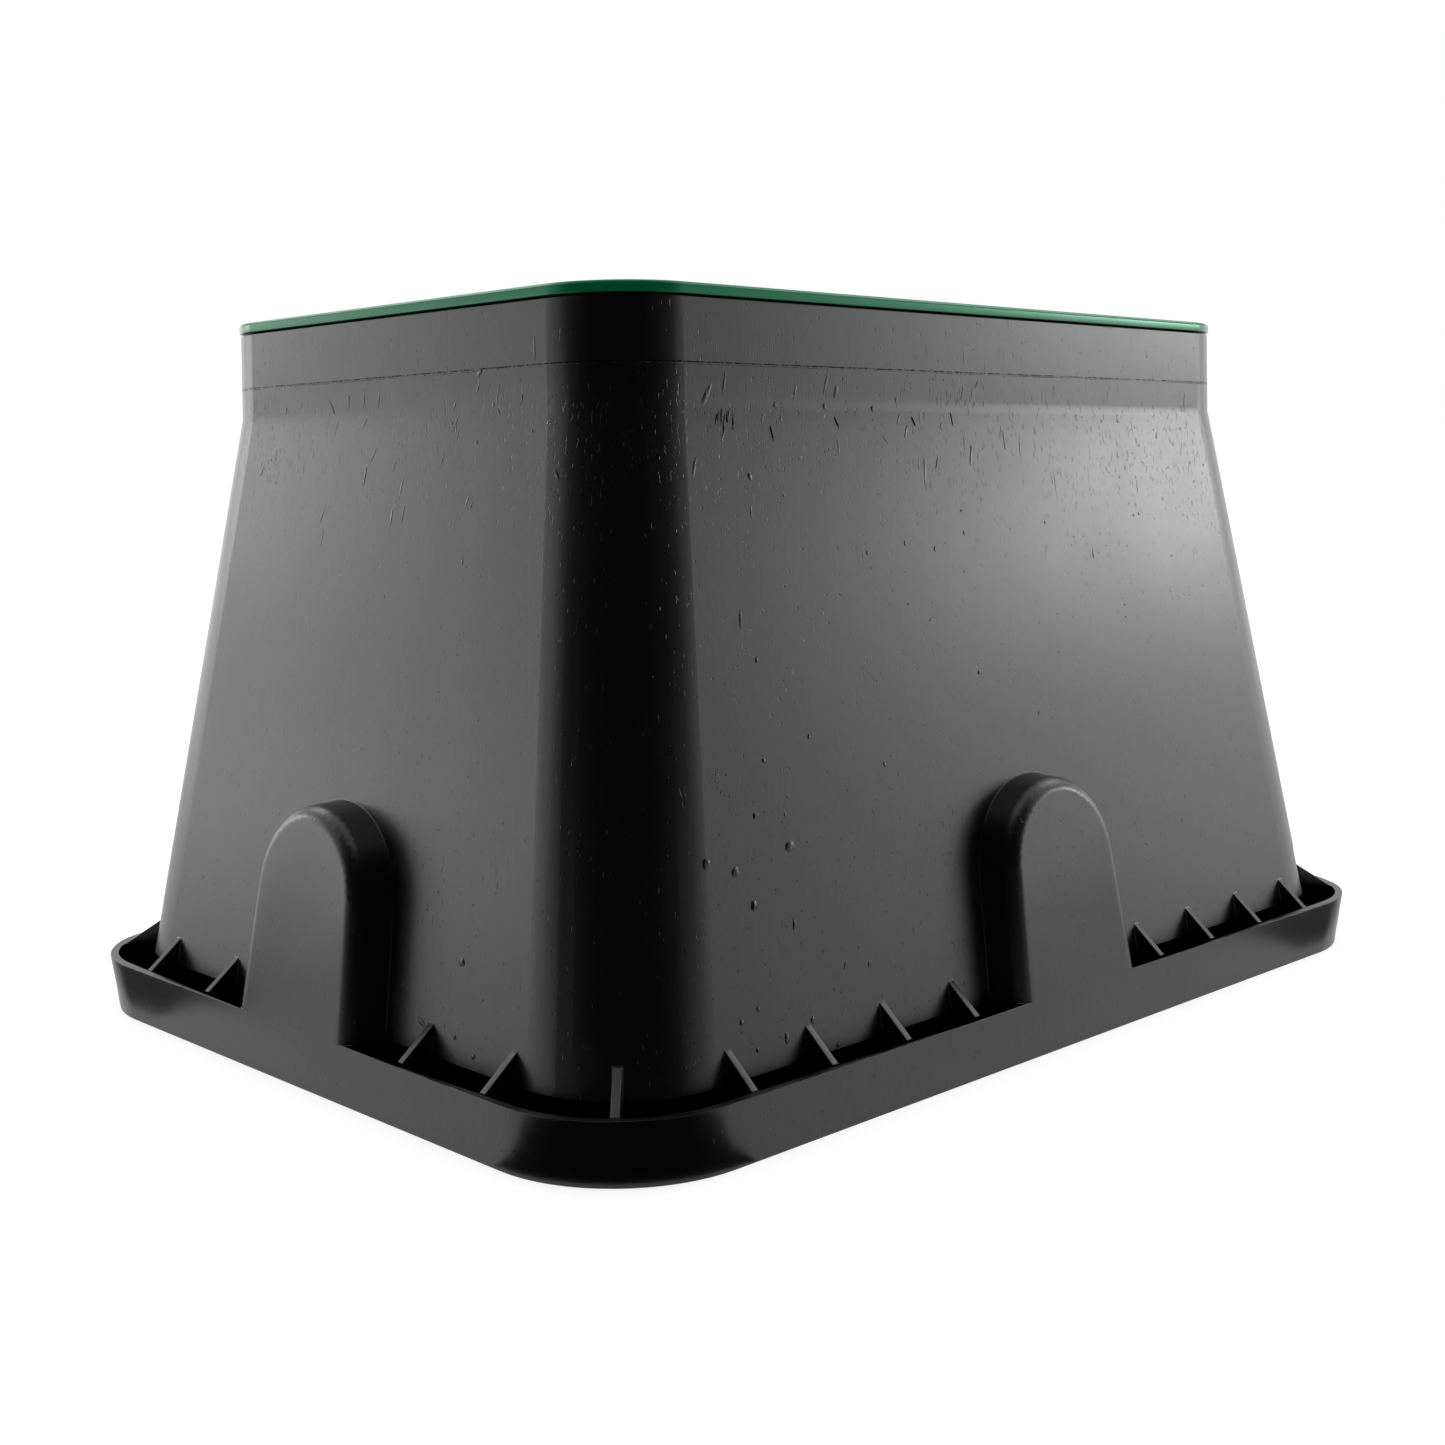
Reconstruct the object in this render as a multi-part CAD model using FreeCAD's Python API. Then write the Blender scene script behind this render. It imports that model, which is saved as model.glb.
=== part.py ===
import FreeCAD
import Part
import os
from math import asin, cos, pi, radians, sin, sqrt, tan

# Irrigation valve box, 12 inches tall: a black moulded body with a green lid that bolts down.
# Lengths are in millimetres and angles in degrees. The origin is the centre of the base,
# +X runs along the long side and +Z is up. Every wall has draft, so the moulds pull apart along Z.

# Body walls: the collar at the top sets the plan, and the walls spread from it to the foot.
collar_length = 405.4
collar_width = 271.6
collar_corner = 35.0
collar_height = 37.4
collar_draft = 1.2
shoulder_height = 262.0
wall_draft = 9.55
foot_corner = 49.3
wall = 4.0

# Base: a flat flange whose outer edge turns up into a lip, with a gutter behind it.
end_gutter = 7.1
side_gutter = 5.9
lip_wall = 4.0
lip_height = 24.5
lip_draft = 3.7
lip_foot_corner = 57.4
lip_top_corner = 54.4
flange = 4.0

# Gusset ribs in the gutter, counted outward from the pipe arch on each half of a side.
gusset_rise = 11.8
gusset_wall = 3.3
long_side_gusset_count = 4
long_gusset_first = 64.8
long_gusset_pitch = 41.2
short_side_gusset_count = 2
short_gusset_first = 70.4
short_gusset_pitch = 49.8

# Pipe-entry arches: blind, hollow from below, cut open by the fitter where a pipe goes in.
arch_radius = 38.7
arch_crown = 110.3
arch_taper = 12.0
arch_side_draft = 4.3
arch_edge_round = 7.0
arch_wall = 3.5

# Ledge inside the collar that the lid stands on, with an ear at each short end for its bolt.
seat_depth = 17.4
ledge_width = 12.0
ledge = 5.0
ledge_corner = 20.0
ear_length = 36.0
ear_width = 44.0
ear_gusset_depth = 26.0
ear_gusset_spacing = 32.0
ear_gusset_wall = 3.0

# Lid: a plate with a skirt that drops inside the collar, stiffened by a grid of ribs.
lid_reveal = 0.8
lid_overhang = 0.3
lid_plate = 4.3
lid_edge_chamfer = 1.0
lid_corner = 34.6
skirt_clearance = 1.5
skirt_wall = 3.0
rib_wall = 2.6
rib_depth = 13.0
cross_rib_count = 4
cross_rib_pitch = 80.0
long_rib_count = 3
long_rib_pitch = 64.0
pick_slot_length = 32.0
pick_slot_width = 9.0
pick_slot_inset = 26.0
pick_slot_collar = 2.6

# Tread panel: a shallow recess in the lid's top, inside a plain border.
tread_depth = 0.9
tread_margin = 14.0

# Lid bolts: 3/8 inch hex bolts, washers and folded clip nuts.
bolt_inset = 22.0
bolt_diameter = 9.525
bolt_length = 57.15
bolt_head_flats = 14.29
bolt_head_height = 6.0
washer_bore = 10.3
washer_diameter = 20.6
washer_height = 1.65
bolt_pocket_diameter = 24.0
bolt_pocket_depth = 10.0
bolt_pocket_floor = 4.0
bolt_pocket_wall = 3.0
bolt_hole_diameter = 11.1
ear_hole_diameter = 13.0
clip_strip = 1.2
clip_width = 22.0
clip_overlap = 9.0
clip_tongue = 6.0
clip_barrel_wall = 1.9
clip_barrel_length = 5.0
thread_clearance = 0.08

# Levels that follow from the sizes above.
rim_top = shoulder_height + collar_height
ledge_top = rim_top - seat_depth
ledge_bottom = ledge_top - ledge
lid_under = rim_top + lid_reveal
lid_top = lid_under + lid_plate
pocket_floor_top = lid_top - bolt_pocket_depth
wall_slope = tan(radians(wall_draft))

# Helpers for joining and cutting: how far joined pieces sink into each other, how far a cut runs
# past the face it opens, and how far the walls and the collar overlap at the shoulder.
bite = 1.5
overcut = 1.0
shoulder_overlap = 12.0
same_size = 0.001


def rounded_wire(section, z):
    """A rectangle with round corners at height z: section is (half length, half width, corner)."""
    half_x, half_y, corner = section
    edges = []
    for turn in range(4):
        angle = turn * pi / 2
        along, across = (half_x, half_y) if turn % 2 == 0 else (half_y, half_x)

        def point(u, v):
            return FreeCAD.Vector(u * cos(angle) - v * sin(angle), u * sin(angle) + v * cos(angle), z)

        bend = corner * sqrt(0.5)
        start = point(along, -(across - corner))
        end = point(along, across - corner)
        middle = point(along - corner + bend, across - corner + bend)
        last = point(along - corner, across)
        edges.append(Part.LineSegment(start, end).toShape())
        edges.append(Part.Arc(end, middle, last).toShape())
    return Part.Wire(edges)


def solid_between(low, high):
    """A solid between two outlines with the same edges in the same order: straight ones give flat faces."""
    faces = [Part.Face(low), Part.Face(high)]
    for low_edge, high_edge in zip(low.Edges, high.Edges):
        start, end = low_edge.valueAt(low_edge.FirstParameter), low_edge.valueAt(low_edge.LastParameter)
        high_start = high_edge.valueAt(high_edge.FirstParameter)
        high_end = high_edge.valueAt(high_edge.LastParameter)
        if low_edge.Curve.TypeId == "Part::GeomLine":
            faces.append(Part.Face(Part.makePolygon([start, end, high_end, high_start, start])))
        else:
            faces.append(Part.makeRuledSurface(low_edge, high_edge))
    shell = Part.makeShell(faces)
    shell.sewShape()
    solid = Part.makeSolid(shell)
    if solid.Volume < 0:
        solid.reverse()
    return solid.removeSplitter()


def frustum(low, low_z, high, high_z):
    """A solid between two rounded rectangles."""
    return solid_between(rounded_wire(low, low_z), rounded_wire(high, high_z))


def shrink(section, amount):
    return tuple(size - amount for size in section)


def wall_section(z):
    """The outside of the tapered wall at height z: half length, half width and corner."""
    spread = (shoulder_height - z) * wall_slope
    corner = collar_corner + (foot_corner - collar_corner) * (shoulder_height - z) / shoulder_height
    return (collar_length / 2 + spread, collar_width / 2 + spread, corner)


def collar_section(z):
    """The outside of the collar at height z."""
    lean = (z - shoulder_height) * tan(radians(collar_draft))
    return (collar_length / 2 - lean, collar_width / 2 - lean, collar_corner)


def lip_section(z):
    """The outside of the upturned lip at height z. Its corners tighten towards the top edge."""
    foot_x, foot_y, _ = wall_section(0)
    flare = z * tan(radians(lip_draft))
    half_x = foot_x + end_gutter + lip_wall + flare
    half_y = foot_y + side_gutter + lip_wall + flare
    corner = lip_foot_corner + (lip_top_corner - lip_foot_corner) * z / lip_height
    return (half_x, half_y, corner)


def far_out():
    """A distance beyond every part of the box."""
    return 2 * lip_section(lip_height)[0]


def corner_line(section, draft, inset, z):
    """Where the ball that rolls up a drafted corner touches both walls at height z.

    The walls lean in by draft and the ball's radius is the section's corner less inset. It gives
    the ball's centre, its radius, and its touching points on the end wall and on the side wall."""
    half_x, half_y, corner = section(z)
    lean = radians(draft)
    radius = corner - inset
    depth = inset / cos(lean)
    centre_z = z - radius * sin(lean)
    centre_x = half_x - depth - radius * cos(lean)
    centre_y = half_y - depth - radius * cos(lean)
    centre = FreeCAD.Vector(centre_x, centre_y, centre_z)
    end_touch = FreeCAD.Vector(half_x - depth, centre_y, z)
    side_touch = FreeCAD.Vector(centre_x, half_y - depth, z)
    return centre, radius, end_touch, side_touch


def corner_cone(section, draft, inset, low_z, high_z):
    """The round part of one drafted corner: the slice of a leaning cone beyond its touching lines."""
    low_centre, low_radius, low_end, low_side = corner_line(section, draft, inset, low_z)
    high_centre, high_radius, high_end, high_side = corner_line(section, draft, inset, high_z)
    axis = high_centre - low_centre
    narrowing = (low_radius - high_radius) / axis.Length
    widen = 1.0 / sqrt(1.0 - narrowing ** 2)
    reach = low_radius
    direction = FreeCAD.Vector(axis).normalize()
    foot_radius = (low_radius + narrowing * reach) * widen
    head_radius = (high_radius - narrowing * reach) * widen
    length = axis.Length + 2 * reach
    foot = low_centre - direction * reach
    if abs(foot_radius - head_radius) < same_size:
        cone = Part.makeCylinder(foot_radius, length, foot, direction)
    else:
        cone = Part.makeCone(foot_radius, head_radius, length, foot, direction)
    chord = low_side - low_end
    outward = (high_end - low_end).cross(chord).normalize()
    if outward.x < 0:
        outward = outward * -1
    along = FreeCAD.Vector(chord).normalize() * far_out()
    up = outward.cross(along)
    corners = [low_end - along - up, low_end + along - up, low_end + along + up, low_end - along + up]
    beyond = Part.Face(Part.makePolygon(corners + corners[:1])).extrude(outward * far_out())
    slab_corner = FreeCAD.Vector(-far_out(), -far_out(), low_z)
    slab = Part.makeBox(2 * far_out(), 2 * far_out(), high_z - low_z, slab_corner)
    return cone.common(beyond).common(slab)


def drafted_block(section, draft, inset, low_z, high_z):
    """A solid with four leaning flat walls and cones for corners, drawn in by inset."""
    outlines = []
    for z in (low_z, high_z):
        _, _, end_touch, side_touch = corner_line(section, draft, inset, z)
        quarter = [(end_touch.x, end_touch.y), (side_touch.x, side_touch.y)]
        points = []
        for hand_x, hand_y in ((1, 1), (-1, 1), (-1, -1), (1, -1)):
            pair = quarter if hand_x == hand_y else quarter[::-1]
            points.extend(FreeCAD.Vector(hand_x * x, hand_y * y, z) for x, y in pair)
        outlines.append(Part.makePolygon(points + points[:1]))
    block = solid_between(*outlines)
    corner = corner_cone(section, draft, inset, low_z, high_z)
    across = corner.mirror(FreeCAD.Vector(0, 0, 0), FreeCAD.Vector(1, 0, 0))
    pair = [corner, across]
    pair.extend(piece.mirror(FreeCAD.Vector(0, 0, 0), FreeCAD.Vector(0, 1, 0)) for piece in (corner, across))
    return block.fuse(pair).removeSplitter()


def tapered_walls(inset, low_z, high_z):
    """The walls and collar as one solid, drawn in by inset, from low_z to high_z."""
    walls = drafted_block(wall_section, wall_draft, inset, low_z, shoulder_height + shoulder_overlap)
    collar = drafted_block(collar_section, collar_draft, inset, shoulder_height - shoulder_overlap, high_z)
    return walls.fuse(collar)


def above_lip():
    """Everything higher than the lip."""
    corner = FreeCAD.Vector(-far_out(), -far_out(), lip_height)
    return Part.makeBox(2 * far_out(), 2 * far_out(), rim_top, corner)


def side_face(side):
    """Distance from the centre to the lip's outside and to the wall's outside, at the lip's top."""
    index = 0 if side % 2 else 1
    return lip_section(lip_height)[index], wall_section(lip_height)[index]


def turn_to_side(shape, side):
    """Turn a shape that is built facing -Y, so that it faces side 1 (+X), 2 (+Y) or 3 (-X)."""
    turned = shape.copy()
    turned.rotate(FreeCAD.Vector(0, 0, 0), FreeCAD.Vector(0, 0, 1), 90 * side)
    return turned


def arch_wire(radius, centre, distance, low):
    """An arch outline on a plane that leans in like the wall, at distance from the box's centre line.

    Centre and low are the heights of the round top's centre and of the foot, measured up the plane."""
    lean = radians(wall_draft)
    draft = radians(arch_side_draft)
    tangent_u = radius * cos(draft)
    tangent_v = centre + radius * sin(draft)
    low_u = tangent_u + (tangent_v - low) * tan(draft)

    def point(u, v):
        return FreeCAD.Vector(u, v * sin(lean) - distance * cos(lean), v * cos(lean) + distance * sin(lean))

    right = Part.LineSegment(point(low_u, low), point(tangent_u, tangent_v)).toShape()
    crown = point(0, centre + radius)
    top = Part.Arc(point(tangent_u, tangent_v), crown, point(-tangent_u, tangent_v)).toShape()
    left = Part.LineSegment(point(-tangent_u, tangent_v), point(-low_u, low)).toShape()
    bottom = Part.LineSegment(point(-low_u, low), point(low_u, low)).toShape()
    return Part.Wire([right, top, left, bottom])


def arch_face_distance(side):
    """How far out the arch's face lies, square to the leaning plane, so that it meets the lip's top."""
    lean = radians(wall_draft)
    return side_face(side)[0] * cos(lean) + lip_height * sin(lean)


def arch_block(side, inset):
    """A whole arch drawn in by inset, before it is trimmed to the lip. It faces -Y."""
    lean = radians(wall_draft)
    lip_distance, wall_distance = side_face(side)
    depth = (lip_distance - wall_distance) * cos(lean)
    face = arch_face_distance(side)
    root = face - depth
    centre = (arch_crown - root * sin(lean)) / cos(lean) - arch_radius
    spread = tan(radians(arch_taper))
    inner = root - wall - bite
    outer = face - inset
    low = -(face + bite) * sin(lean) / cos(lean)
    back = arch_wire(arch_radius + (root - inner) * spread - inset, centre, inner, low)
    front = arch_wire(arch_radius - (outer - root) * spread - inset, centre, outer, low)
    return solid_between(back, front)


def round_face_edges(block, distance):
    """Round the front edges of an arch, along its sides and over its crown."""
    lean = radians(wall_draft)
    normal = FreeCAD.Vector(0, -cos(lean), sin(lean))
    edges = []
    for edge in block.Edges:
        middle = edge.valueAt((edge.FirstParameter + edge.LastParameter) / 2)
        on_face = abs(normal.dot(middle) - distance) < same_size
        if on_face and middle.z > flange:
            edges.append(edge)
    return block.makeFillet(arch_edge_round, edges)


def arch_outside(side):
    """The moulded arch, flush with the lip's top edge, with a soft front edge."""
    soft = round_face_edges(arch_block(side, 0.0), arch_face_distance(side))
    turned = turn_to_side(soft, side)
    behind_lip = frustum(lip_section(0), 0, lip_section(lip_height), lip_height)
    return turned.common(above_lip()), turned.common(behind_lip)


def arch_hollow(side):
    """The space inside an arch, which is open at the bottom and to the inside of the box."""
    block = turn_to_side(arch_block(side, arch_wall), side)
    inner_low = shrink(lip_section(-overcut), lip_wall)
    inner_high = shrink(lip_section(lip_height), lip_wall)
    behind_lip = frustum(inner_low, -overcut, inner_high, lip_height)
    return block.common(above_lip()), block.common(behind_lip)


def gusset(lip_inside, wall_at_lip, thickness):
    """One gusset rib that faces -Y, from the lip's inner edge up to the wall."""
    top = lip_height + gusset_rise
    wall_at_top = wall_at_lip - gusset_rise * wall_slope
    foot = flange / 2
    wall_at_foot = wall_at_lip + (lip_height - foot) * wall_slope

    def point(distance, z):
        return FreeCAD.Vector(-thickness / 2, -distance, z)

    lip_end = point(lip_inside, lip_height)
    wall_end = point(wall_at_top, top)
    inside_wall = point(wall_at_top - bite, top - bite)
    inside_foot = point(wall_at_foot - 2 * bite, foot)
    lip_foot = point(lip_inside + bite, foot)
    inside_lip = point(lip_inside + bite, lip_height - bite)
    outline = Part.makePolygon([lip_end, wall_end, inside_wall, inside_foot, lip_foot, inside_lip, lip_end])
    return Part.Face(outline).extrude(FreeCAD.Vector(thickness, 0, 0))


def side_gussets(side):
    """The ribs along one side, a set to each hand of the arch."""
    lip_distance, wall_distance = side_face(side)
    rib = gusset(lip_distance - lip_wall, wall_distance, gusset_wall)
    count, first, pitch = long_side_gusset_count, long_gusset_first, long_gusset_pitch
    if side % 2:
        count, first, pitch = short_side_gusset_count, short_gusset_first, short_gusset_pitch
    ribs = []
    for number in range(count):
        for hand in (-1, 1):
            moved = rib.copy()
            moved.translate(FreeCAD.Vector(hand * (first + number * pitch), 0, 0))
            ribs.append(turn_to_side(moved, side))
    return ribs


def corner_gusset(hand_x, hand_y):
    """The rib that crosses the gutter at a corner, along the line between the two corner centres."""
    lip_x, lip_y, lip_radius = shrink(lip_section(lip_height), lip_wall)
    wall_x, wall_y, wall_radius = wall_section(lip_height)
    lip_centre = FreeCAD.Vector(lip_x - lip_radius, lip_y - lip_radius, 0)
    wall_centre = FreeCAD.Vector(wall_x - wall_radius, wall_y - wall_radius, 0)
    middle = (lip_centre + wall_centre) * 0.5
    diagonal = FreeCAD.Vector(1, 1, 0).normalize()

    def reach(centre, radius):
        """Distance from the middle to a corner's arc, along the diagonal."""
        gap = centre - middle
        along = gap.dot(diagonal)
        across = sqrt(max(gap.Length ** 2 - along ** 2, 0.0))
        return along + radius * cos(asin(across / radius))

    rib = gusset(reach(lip_centre, lip_radius), reach(wall_centre, wall_radius), gusset_wall)
    rib.rotate(FreeCAD.Vector(0, 0, 0), FreeCAD.Vector(0, 0, 1), 135)
    rib.translate(middle)
    if hand_x < 0:
        rib = rib.mirror(FreeCAD.Vector(0, 0, 0), FreeCAD.Vector(1, 0, 0))
    if hand_y < 0:
        rib = rib.mirror(FreeCAD.Vector(0, 0, 0), FreeCAD.Vector(0, 1, 0))
    return rib


def base():
    """The flange and its lip, before the walls cover the middle."""
    block = frustum(lip_section(0), 0, lip_section(lip_height), lip_height)
    high = lip_height + overcut
    gutter = frustum(shrink(lip_section(flange), lip_wall), flange, shrink(lip_section(high), lip_wall), high)
    return block.cut(gutter)


def bolt_centre():
    """Distance along X from the middle of the box to a bolt's axis."""
    return collar_section(ledge_top)[0] - wall - bolt_inset


def ear(hand):
    """The ear that carries a clip nut, from inside the collar wall to its rounded end."""
    face = collar_section(ledge_top)[0] - wall
    tip = face - ear_length
    length = ear_length + bite
    plate = Part.makeBox(length, ear_width, ledge, FreeCAD.Vector(tip, -ear_width / 2, ledge_bottom))
    parts = [plate]
    for edge in (-1, 1):
        y = edge * ear_gusset_spacing / 2 - ear_gusset_wall / 2
        corners = [
            FreeCAD.Vector(face + bite, y, ledge_bottom + bite),
            FreeCAD.Vector(tip + bite, y, ledge_bottom + bite),
            FreeCAD.Vector(tip + bite, y, ledge_bottom),
            FreeCAD.Vector(face + bite, y, ledge_bottom - ear_gusset_depth),
        ]
        side = Part.Face(Part.makePolygon(corners + corners[:1]))
        parts.append(side.extrude(FreeCAD.Vector(0, ear_gusset_wall, 0)))
    solid = parts[0].fuse(parts[1:])
    below = FreeCAD.Vector(bolt_centre(), 0, ledge_bottom - ledge)
    hole = Part.makeCylinder(ear_hole_diameter / 2, 3 * ledge, below)
    solid = solid.cut(hole)
    if hand < 0:
        solid = solid.mirror(FreeCAD.Vector(0, 0, 0), FreeCAD.Vector(1, 0, 0))
    return solid


def seat_hollow():
    """The space above the ledge, where the lid's skirt stands, and the opening through the ledge."""
    low = shrink(collar_section(ledge_top), wall)
    high = shrink(collar_section(rim_top + overcut), wall)
    seat = frustum(low, ledge_top, high, rim_top + overcut)
    length, width, _ = shrink(low, ledge_width)
    opening = (length, width, ledge_corner)
    return seat, frustum(opening, ledge_bottom - overcut, opening, ledge_top + overcut)


def box_body():
    """The whole moulding: walls, base, arches and gussets outside; then the hollow, ledge and ears."""
    solid = base().fuse(tapered_walls(0.0, 0.0, rim_top))
    added = []
    for side in range(4):
        added.extend(arch_outside(side))
        added.extend(side_gussets(side))
    for hand_x in (-1, 1):
        for hand_y in (-1, 1):
            added.append(corner_gusset(hand_x, hand_y))
    solid = solid.fuse(added)
    hollow = tapered_walls(wall, -overcut, ledge_bottom)
    cuts = [hollow, *seat_hollow()]
    for side in range(4):
        cuts.extend(arch_hollow(side))
    solid = solid.cut(cuts)
    solid = solid.fuse([ear(-1), ear(1)])
    return solid.removeSplitter()


def lid_section():
    """The lid's outline, a little proud of the collar's top edge."""
    length, width, _ = collar_section(rim_top)
    return (length + lid_overhang, width + lid_overhang, lid_corner)


def skirt_section():
    return shrink(collar_section(rim_top), wall + skirt_clearance)


def slot_solid(length, width, low_z, high_z, centre_y):
    """A slot with round ends along X, as a solid."""
    half = (length - width) / 2
    middle = Part.makeBox(2 * half, width, high_z - low_z, FreeCAD.Vector(-half, centre_y - width / 2, low_z))
    ends = [
        Part.makeCylinder(width / 2, high_z - low_z, FreeCAD.Vector(end * half, centre_y, low_z))
        for end in (-1, 1)
    ]
    return middle.fuse(ends).removeSplitter()


def pick_slot_centres():
    edge = lid_section()[1]
    return [-(edge - pick_slot_inset), edge - pick_slot_inset]


def tread_pocket():
    """The recess of the tread panel, around the rims of the bolt pockets and of the pick slots."""
    low_z = lid_top - tread_depth
    outline = rounded_wire(shrink(lid_section(), tread_margin), low_z)
    pocket = Part.Face(outline).extrude(FreeCAD.Vector(0, 0, 2 * tread_depth))
    rim_radius = bolt_pocket_diameter / 2 + bolt_pocket_wall
    rims = []
    for hand in (-1, 1):
        centre = FreeCAD.Vector(hand * bolt_centre(), 0, low_z - overcut)
        rims.append(Part.makeCylinder(rim_radius, 4 * tread_depth, centre))
    for centre_y in pick_slot_centres():
        rim_length = pick_slot_length + 2 * pick_slot_collar
        rim_width = pick_slot_width + 2 * pick_slot_collar
        rims.append(slot_solid(rim_length, rim_width, low_z - overcut, lid_top + 2 * tread_depth, centre_y))
    return pocket.cut(rims)


def lid_ribs():
    """The grid of ribs under the plate, inside the skirt."""
    half_x, half_y, _ = shrink(skirt_section(), skirt_wall)
    low_z = lid_under - rib_depth
    height = rib_depth + lid_plate / 2
    ribs = []
    for number in range(cross_rib_count):
        x = (number - (cross_rib_count - 1) / 2) * cross_rib_pitch - rib_wall / 2
        corner = FreeCAD.Vector(x, -half_y - skirt_wall / 2, low_z)
        ribs.append(Part.makeBox(rib_wall, 2 * half_y + skirt_wall, height, corner))
    for number in range(long_rib_count):
        y = (number - (long_rib_count - 1) / 2) * long_rib_pitch - rib_wall / 2
        corner = FreeCAD.Vector(-half_x - skirt_wall / 2, y, low_z)
        ribs.append(Part.makeBox(2 * half_x + skirt_wall, rib_wall, height, corner))
    return ribs


def lid():
    """The lid moulding: plate, skirt, ribs, bolt pockets, pick slots and tread panel."""
    section = lid_section()
    edge_low = lid_top - lid_edge_chamfer
    plate = frustum(section, lid_under, section, edge_low)
    plate = plate.fuse(frustum(section, edge_low, shrink(section, lid_edge_chamfer), lid_top))
    skirt_out = skirt_section()
    skirt_in = shrink(skirt_out, skirt_wall)
    middle = lid_under + lid_plate / 2
    skirt = frustum(skirt_out, ledge_top, skirt_out, middle)
    skirt = skirt.cut(frustum(skirt_in, ledge_top - overcut, skirt_in, lid_under))
    added = [skirt] + lid_ribs()
    pocket_radius = bolt_pocket_diameter / 2
    cuts = [tread_pocket()]
    for hand in (-1, 1):
        x = hand * bolt_centre()
        cup_radius = pocket_radius + bolt_pocket_wall
        cup_low = pocket_floor_top - bolt_pocket_floor
        added.append(Part.makeCylinder(cup_radius, middle - cup_low, FreeCAD.Vector(x, 0, cup_low)))
        floor_centre = FreeCAD.Vector(x, 0, pocket_floor_top)
        cuts.append(Part.makeCylinder(pocket_radius, 2 * bolt_pocket_depth, floor_centre))
        below = FreeCAD.Vector(x, 0, ledge_top)
        cuts.append(Part.makeCylinder(bolt_hole_diameter / 2, lid_top - ledge_top, below))
    for centre_y in pick_slot_centres():
        cuts.append(slot_solid(pick_slot_length, pick_slot_width, ledge_top, lid_top + overcut, centre_y))
    return plate.fuse(added).cut(cuts).removeSplitter()


def hex_bolt(x):
    """A bolt standing in its place: head on the washer, shank down through the clip nut."""
    seat = pocket_floor_top + washer_height
    corner_radius = bolt_head_flats / 2 / cos(pi / 6)
    corners = [
        FreeCAD.Vector(corner_radius * cos(k * pi / 3), corner_radius * sin(k * pi / 3), 0) for k in range(6)
    ]
    head = Part.Face(Part.makePolygon(corners + corners[:1])).extrude(FreeCAD.Vector(0, 0, bolt_head_height))
    shank = Part.makeCylinder(bolt_diameter / 2, bolt_length, FreeCAD.Vector(0, 0, -bolt_length))
    bolt = head.fuse(shank).removeSplitter()
    bolt.translate(FreeCAD.Vector(x, 0, seat))
    return bolt


def washer(x):
    centre = FreeCAD.Vector(x, 0, pocket_floor_top)
    disc = Part.makeCylinder(washer_diameter / 2, washer_height, centre)
    return disc.cut(Part.makeCylinder(washer_bore / 2, washer_height, centre))


def clip_nut(hand):
    """A steel strip folded over the ear's end: a short tongue above, the threaded barrel below."""
    tip = collar_section(ledge_top)[0] - wall - ear_length
    reach = bolt_centre() + clip_overlap
    inner = ledge / 2
    outer = inner + clip_strip
    middle_z = ledge_top - inner
    y = -clip_width / 2

    def point(x, offset):
        return FreeCAD.Vector(x, y, middle_z + offset)

    tongue = tip + clip_tongue
    edges = [
        Part.LineSegment(point(tongue, outer), point(tip, outer)).toShape(),
        Part.Arc(point(tip, outer), point(tip - outer, 0), point(tip, -outer)).toShape(),
        Part.LineSegment(point(tip, -outer), point(reach, -outer)).toShape(),
        Part.LineSegment(point(reach, -outer), point(reach, -inner)).toShape(),
        Part.LineSegment(point(reach, -inner), point(tip, -inner)).toShape(),
        Part.Arc(point(tip, -inner), point(tip - inner, 0), point(tip, inner)).toShape(),
        Part.LineSegment(point(tip, inner), point(tongue, inner)).toShape(),
        Part.LineSegment(point(tongue, inner), point(tongue, outer)).toShape(),
    ]
    strip = Part.Face(Part.Wire(edges)).extrude(FreeCAD.Vector(0, clip_width, 0))
    bore = bolt_diameter / 2 + thread_clearance
    low_z = ledge_bottom - clip_strip - clip_barrel_length
    barrel_height = clip_barrel_length + clip_strip / 2
    barrel = Part.makeCylinder(bore + clip_barrel_wall, barrel_height, FreeCAD.Vector(bolt_centre(), 0, low_z))
    below = FreeCAD.Vector(bolt_centre(), 0, low_z - overcut)
    through = Part.makeCylinder(bore, middle_z - below.z, below)
    nut = strip.fuse(barrel).cut(through).removeSplitter()
    if hand < 0:
        nut = nut.mirror(FreeCAD.Vector(0, 0, 0), FreeCAD.Vector(1, 0, 0))
    return nut


def main():
    os.makedirs("parts", exist_ok=True)
    nodes = {
        "box_body": box_body(),
        "lid": lid(),
        "lid_bolt_left": hex_bolt(-bolt_centre()),
        "lid_bolt_right": hex_bolt(bolt_centre()),
        "bolt_washers": Part.makeCompound([washer(-bolt_centre()), washer(bolt_centre())]),
        "clip_nuts": Part.makeCompound([clip_nut(-1), clip_nut(1)]),
    }
    for name, shape in nodes.items():
        shape.exportStep("parts/" + name + ".step")
        print(name, "solids", len(shape.Solids), "volume", round(shape.Volume), "valid", shape.isValid())


main()
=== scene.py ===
import bmesh
import bpy
import random
from math import copysign, cos, pi, radians, sin, tan
from mathutils import Matrix, Vector, noise
from mathutils.bvhtree import BVHTree


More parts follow.
